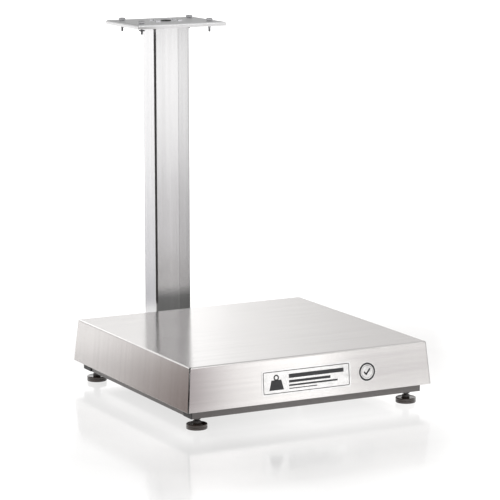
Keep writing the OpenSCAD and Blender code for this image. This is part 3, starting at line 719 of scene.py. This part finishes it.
def card(name, corners, facing, colour, across, upward=EVEN):
    """A soft-edged card that only reflections see, and only from the side that it faces.
    corners run (start, bottom), (end, bottom), (end, top), (start, top). across and upward are stops of
    (place, density) along the two directions."""
    material = bpy.data.materials.new(name)
    material.use_nodes = True
    t = material.node_tree
    t.nodes.clear()
    out = t.nodes.new("ShaderNodeOutputMaterial")
    mix = t.nodes.new("ShaderNodeMixShader")
    glass = t.nodes.new("ShaderNodeBsdfTransparent")
    glow = t.nodes.new("ShaderNodeEmission")
    glow.inputs["Color"].default_value = (*colour, 1)
    uv = t.nodes.new("ShaderNodeTexCoord")
    split = t.nodes.new("ShaderNodeSeparateXYZ")
    t.links.new(uv.outputs["UV"], split.inputs[0])
    density = math_node(t, "MULTIPLY", ramp(t, split.outputs[0], across), ramp(t, split.outputs[1], upward))
    geometry = t.nodes.new("ShaderNodeNewGeometry")
    front = math_node(t, "SUBTRACT", 1.0, geometry.outputs["Backfacing"])
    t.links.new(math_node(t, "MULTIPLY", density, front), mix.inputs["Fac"])
    t.links.new(glass.outputs[0], mix.inputs[1])
    t.links.new(glow.outputs[0], mix.inputs[2])
    t.links.new(mix.outputs[0], out.inputs["Surface"])
    a, b, c, d = (Vector(v) for v in corners)
    order = (0, 1, 2, 3)
    if (b - a).cross(d - a).dot(Vector(facing)) < 0:
        order = (3, 2, 1, 0)
    mesh = bpy.data.meshes.new(name)
    mesh.from_pydata([a, b, c, d], [], [order])
    layer = mesh.uv_layers.new(name="card")
    for loop, index in zip(layer.data, order):
        loop.uv = ((0, 0), (1, 0), (1, 1), (0, 1))[index]
    mesh.materials.append(material)
    obj = bpy.data.objects.new(name, mesh)
    scene.collection.objects.link(obj)
    obj.visible_camera = False
    obj.visible_diffuse = False
    obj.visible_shadow = False
    obj.visible_transmission = False
    return obj


floor_material, tree, shader = start_material("studio_floor")
place = tree.nodes.new("ShaderNodeTexCoord")
mottle = stretched_noise(tree, place.outputs["Object"], (9, 9, 9), 3.0)
tree.links.new(ramp(tree, mottle, [(0.3, 0.20), (0.7, 0.22)]), shader.inputs["Base Color"])
shader.inputs["Roughness"].default_value = 0.12
shader.inputs["Specular IOR Level"].default_value = 0.5
shader.inputs["Emission Color"].default_value = (1, 0.995, 0.99, 1)
axes = tree.nodes.new("ShaderNodeSeparateXYZ")
tree.links.new(place.outputs["Object"], axes.inputs[0])
reach = (hi.x - lo.x) / 2


def beyond(value, centre):
    """Distance past the platter's edge along one axis, squared."""
    past = math_node(tree, "MAXIMUM", math_node(tree, "SUBTRACT", from_middle(value, centre), reach), 0.0)
    return math_node(tree, "MULTIPLY", past, past)


def from_middle(value, centre):
    """Distance from the platter's middle along one axis."""
    return math_node(tree, "ABSOLUTE", math_node(tree, "SUBTRACT", value, centre))


# Painted light and shadow on the floor: it glows by its distance from the platter, carries a painted shadow
# under it and painted shade to the left
away_from_platter = math_node(tree, "SQRT", math_node(tree, "ADD", beyond(axes.outputs[0], platter_mid.x),
                                                      beyond(axes.outputs[1], platter_mid.y)))
# Painted pool of light round the platter
painted_light_pool = ramp(tree, away_from_platter, [(0.0, 0.84), (0.05, 0.77), (0.10, 0.68), (0.17, 0.61), (0.23, 0.58),
                                      (0.33, 0.62), (0.42, 0.72), (0.60, 0.80)])
inward = math_node(tree, "MAXIMUM", from_middle(axes.outputs[0], platter_mid.x),
                   from_middle(axes.outputs[1], platter_mid.y))
under = math_node(tree, "LESS_THAN", inward, reach)
from_edge = math_node(tree, "MINIMUM", math_node(tree, "SUBTRACT", axes.outputs[0], lo.x),
                      math_node(tree, "SUBTRACT", axes.outputs[1], lo.y))
# Painted shadow under the platter: full from 0.15 m in from its front and left edges, gone by 0.09 m
painted_shadow_depth = ramp(tree, from_edge, [(0.092, 0.0), (0.125, 0.65), (0.15, 1.0)])
shade = math_node(tree, "SUBTRACT", 1.0, math_node(tree, "MULTIPLY", painted_shadow_depth, under))
left_of = tree.nodes.new("ShaderNodeMapRange")
left_of.inputs["From Min"].default_value = -0.7
left_of.inputs["From Max"].default_value = 0.3
tree.links.new(axes.outputs[0], left_of.inputs["Value"])
# Painted shade: the floor dimmer to the left
side = ramp(tree, left_of.outputs[0], [(0.0, 1.0), (0.20, 0.95), (0.36, 0.90), (0.50, 0.85), (0.68, 0.98)])
painted_light_pool = math_node(tree, "MULTIPLY", math_node(tree, "MULTIPLY", painted_light_pool, shade), side)
tree.links.new(painted_light_pool, shader.inputs["Emission Strength"])
floor_z, floor_half = -0.0003, 40
floor_mesh = bpy.data.meshes.new("studio_floor")
floor_mesh.from_pydata([(-floor_half, -floor_half, floor_z), (floor_half, -floor_half, floor_z),
                        (floor_half, floor_half, floor_z), (-floor_half, floor_half, floor_z)],
                       [], [(0, 1, 2, 3)])
floor_mesh.materials.append(floor_material)
floor = bpy.data.objects.new("studio_floor", floor_mesh)
scene.collection.objects.link(floor)

yaw = math.radians(27.586)
away = Vector((math.sin(yaw), math.cos(yaw), 0))
sideways = Vector((math.cos(yaw), -math.sin(yaw), 0))


def behind(distance, offset, z):
    """A point behind the platter as the camera sees it: distance back, offset to the right, height."""
    spot = Vector((0, platter_mid.y, 0)) + away * distance + sideways * offset
    return (spot.x, spot.y, z)


card("left_card", [(-0.30, -0.9, 0), (-0.30, 0.7, 0), (-0.62, 0.7, 0.4), (-0.62, -0.9, 0.4)], (1, 0, 0),
     (0.24, 0.192, 0.179),
     ((0.0, 1.0), (0.45, 0.98), (0.52, 0.86), (0.57, 0.74), (0.66, 0.49), (0.74, 0.31), (0.82, 0.22),
      (1.0, 0.0)))
card("front_card", [(-1.0, -0.62, 0), (0.2, -0.62, 0), (0.2, -0.62, 0.3), (-1.0, -0.62, 0.3)], (0, 1, 0),
     (0.40, 0.35, 0.36),
     ((0.0, 1.0), (0.74, 1.0), (0.775, 0.86), (0.80, 0.66), (0.84, 0.36), (0.90, 0.10), (1.0, 0.0)),
     ((0.0, 1.0), (0.45, 0.9), (1.0, 0.0)))
card("front_right_card", [(0.15, -0.62, 0), (0.95, -0.62, 0), (0.95, -0.62, 0.17), (0.15, -0.62, 0.17)],
     (0, 1, 0), (0.40, 0.35, 0.34), ((0.0, 0.0), (0.14, 0.05), (0.24, 0.03), (0.34, 0.05), (1.0, 0.30)),
     ((0.0, 1.0), (0.5, 0.9), (1.0, 0.0)))
card("far_front_card", [(0.5, -1.6, 0.455), (1.4, -1.6, 0.455), (1.4, -1.6, 1.1), (0.5, -1.6, 1.1)],
     (0, 1, 0), (0.26, 0.25, 0.245), ((0.0, 0.0), (0.36, 1.0), (0.64, 1.0), (1.0, 0.0)),
     ((0.0, 0.1), (0.04, 0.53), (0.22, 0.84), (0.55, 0.84), (1.0, 0.0)))
card("front_floor_card", [(0.243, -0.70, LOW), (0.743, -0.70, LOW), (1.839, -2.80, LOW), (1.339, -2.80, LOW)],
     (0, 0, 1), (0.42, 0.40, 0.41), ((0.0, 0.0), (0.2, 1.0), (0.8, 1.0), (1.0, 0.0)),
     ((0.0, 0.66), (0.22, 0.82), (0.35, 1.0), (0.50, 0.94), (0.62, 0.66), (0.90, 0.26), (1.0, 0.14)))
# A dark card under the platter, seen only in reflections through the corner gap: painted shade inside the
# platter
card("gap_shade_card", [(x, 0.1565, z) for x, z in ((-0.25, 0.02), (0.25, 0.02), (0.25, 0.1262), (-0.25, 0.1262))],
     (0, 1, 0), (0.20, 0.20, 0.195), EVEN, ((0.0, 1.0), (0.82, 1.0), (0.90, 0.6), (1.0, 0.0)))
card("rear_floor_card", [(-0.45, 0.70, LOW), (0.2, 0.70, LOW), (-2.985, 6.5, LOW), (-3.635, 6.5, LOW)],
     (0, 0, 1), (0.40, 0.40, 0.44), ((0.0, 0.0), (0.25, 1.0), (1.0, 1.0)),
     ((0.0, 0.76), (0.031, 0.74), (0.063, 0.62), (0.125, 0.60), (0.215, 0.54), (0.314, 0.42), (0.42, 0.36),
      (0.58, 0.36), (0.75, 0.33), (1.0, 0.14)))
card("rear_card", [behind(1.0, x, z) for x, z in ((-0.46, 0.02), (0.50, 0.02), (0.50, 0.72), (-0.46, 0.72))],
     -away, (0.24, 0.22, 0.21),
     ((0.027, 0.0), (0.082, 0.28), (0.247, 0.26), (0.302, 0.0), (0.367, 0.02), (0.40, 0.08), (0.445, 0.20),
      (0.48, 0.26), (0.513, 0.29), (0.58, 0.36), (0.682, 0.46), (0.78, 0.53), (0.85, 0.56), (0.90, 0.58),
      (1.0, 0.0)),
     ((0.0, 1.0), (0.35, 1.0), (0.60, 0.8), (1.0, 0.0)))
card("left_rear_card", [(-1.8, 2.45, 0.40), (-0.6, 2.45, 0.40), (-0.6, 2.45, 1.3), (-1.8, 2.45, 1.3)],
     (0, -1, 0), (0.40, 0.39, 0.39), ((0.0, 0.0), (0.2, 0.75), (0.8, 0.75), (1.0, 0.0)),
     ((0.0, 0.0), (0.25, 1.0), (0.8, 1.0), (1.0, 0.0)))
card("upper_card", [(-0.5, 1.0, 0.66), (1.3, 1.0, 0.66), (1.3, 1.0, 1.45), (-0.5, 1.0, 1.45)], (0, -1, 0),
     (0.35, 0.35, 0.35), ((0.0, 0.5), (0.2, 1.0), (0.8, 1.0), (1.0, 0.5)),
     ((0.0, 0.0), (0.12, 1.0), (0.6, 1.0), (1.0, 0.0)))

# Dark bands round the column's front left edge, which its rounded corner mirrors
edge_x, edge_y = column_lo.x, column_lo.y
for height, (radius, bottom, top) in enumerate(((0.05, 0.10, 0.595), (0.16, 0.565, 0.62))):
    for step, (start, end) in enumerate(((-10, 35), (35, 80), (80, 122))):
        (x0, y0), (x1, y1) = ((edge_x - radius * math.sin(t), edge_y - radius * math.cos(t))
                              for t in (math.radians(start), math.radians(end)))
        card(f"edge_card_{height}_{step}", [(x0, y0, bottom), (x1, y1, bottom), (x1, y1, top), (x0, y0, top)],
             (edge_x - x0 + edge_x - x1, edge_y - y0 + edge_y - y1, 0), (0.035, 0.032, 0.03), EVEN)

# A sky by height: one ramp behind the scale, one in front of it, and plain paper for the camera itself
world = bpy.data.worlds.new("studio")
scene.world = world
world.use_nodes = True
tree = world.node_tree
tree.nodes.clear()
out = tree.nodes.new("ShaderNodeOutputWorld")
background = tree.nodes.new("ShaderNodeBackground")
place = tree.nodes.new("ShaderNodeTexCoord")
split = tree.nodes.new("ShaderNodeSeparateXYZ")
tree.links.new(place.outputs["Generated"], split.inputs[0])
rear = ramp(tree, split.outputs["Z"], [
    (0.0, 0.85), (0.10, 1.03), (0.16, 1.40), (0.30, 1.36), (0.38, 1.48), (0.44, 1.9), (0.50, 1.8),
    (0.62, 0.75), (1.0, 0.75)])
front = ramp(tree, split.outputs["Z"], [
    (0.0, 1.8), (0.05, 1.6), (0.12, 0.95), (0.165, 1.14), (0.188, 1.12), (0.198, (0.52, 0.48, 0.47)),
    (0.215, (0.40, 0.36, 0.35)), (0.29, 0.42), (0.36, 2.0), (0.5, 2.0), (0.68, 0.9), (0.78, 0.75),
    (1.0, 0.75)])
turn = tree.nodes.new("ShaderNodeMapRange")
turn.interpolation_type = "SMOOTHSTEP"
turn.inputs["From Min"].default_value = 0.1
turn.inputs["From Max"].default_value = -0.4
tree.links.new(split.outputs["Y"], turn.inputs["Value"])
blend = tree.nodes.new("ShaderNodeMix")
blend.data_type = "RGBA"
tree.links.new(turn.outputs[0], blend.inputs["Factor"])
tree.links.new(rear, blend.inputs["A"])
tree.links.new(front, blend.inputs["B"])
tree.links.new(blend.outputs["Result"], background.inputs["Color"])
background.inputs["Strength"].default_value = 1.0
path = tree.nodes.new("ShaderNodeLightPath")
paper = tree.nodes.new("ShaderNodeBackground")
paper.inputs["Color"].default_value = (1, 1, 1, 1)
paper.inputs["Strength"].default_value = 1.1
pick = tree.nodes.new("ShaderNodeMixShader")
tree.links.new(path.outputs["Is Camera Ray"], pick.inputs["Fac"])
tree.links.new(background.outputs[0], pick.inputs[1])
tree.links.new(paper.outputs[0], pick.inputs[2])
tree.links.new(pick.outputs[0], out.inputs["Surface"])

# ----------------------------------------------------------------------- camera

# Fitted to the corners and edges that the photo shows
pitch, roll = math.radians(9.911), math.radians(-0.102)
forward = Vector((math.sin(yaw) * math.cos(pitch), math.cos(yaw) * math.cos(pitch), -math.sin(pitch)))
right = Vector((math.cos(yaw), -math.sin(yaw), 0))
up = right.cross(forward)
tilted_right = right * math.cos(roll) + up * math.sin(roll)
tilted_up = up * math.cos(roll) - right * math.sin(roll)
aim_right, aim_z, distance = 0.003293, 0.254165, 4.354831
target = Vector((aim_right * math.cos(yaw), platter_mid.y - aim_right * math.sin(yaw), aim_z))
camera_data = bpy.data.cameras.new("camera")
camera_data.sensor_width = 36
camera_data.lens = 178.147
camera_data.clip_end = 200
camera = bpy.data.objects.new("camera", camera_data)
scene.collection.objects.link(camera)
camera.matrix_world = Matrix.Translation(target - forward * distance) @ Matrix(
    (tilted_right, tilted_up, -forward)).transposed().to_4x4()
scene.camera = camera
scene.view_settings.view_transform = "Standard"
scene.view_settings.look = "None"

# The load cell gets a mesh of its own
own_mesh(frame["nodes"]["load_cell"])
